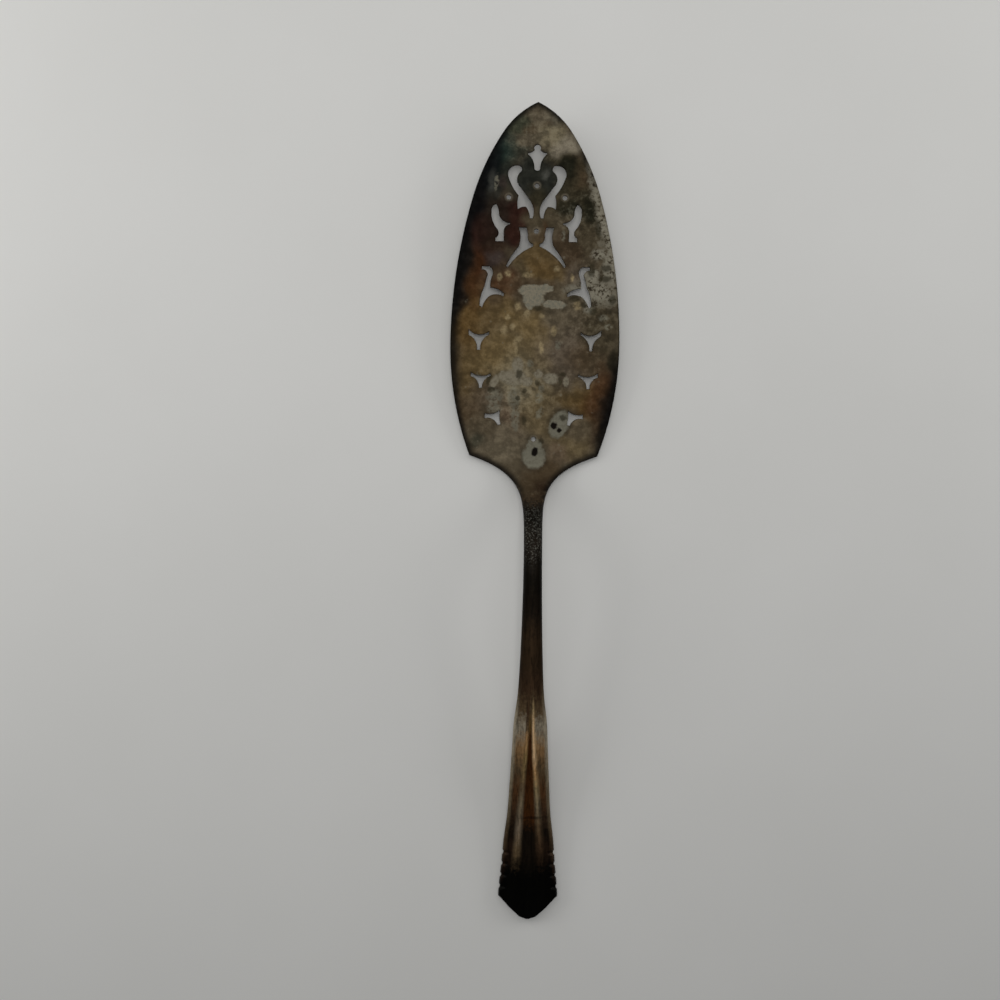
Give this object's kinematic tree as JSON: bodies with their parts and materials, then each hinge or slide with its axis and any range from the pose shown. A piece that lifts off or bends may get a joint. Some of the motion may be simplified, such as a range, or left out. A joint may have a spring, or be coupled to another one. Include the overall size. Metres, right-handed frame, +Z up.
{
  "type": "pie server",
  "caption": "Flat serving tool with a pierced leaf-shaped blade, a cranked neck, a slim shank and a fluted handle that ends in a blunt point.",
  "frame": {"origin": "on the table plane, under the middle of the overall length", "axes": "+Y along the server towards the blade's tip, +Z up out of the table, +X to the right seen from above"},
  "size_m": [0.0528, 0.2542, 0.0154],
  "materials": {
    "tarnished_metal": "worn plate with brown, amber and blue-black tarnish and grey corrosion spots"
  },
  "bodies": {
    "root": {"pie_server": "tarnished_metal"}
  },
  "joints": []
}
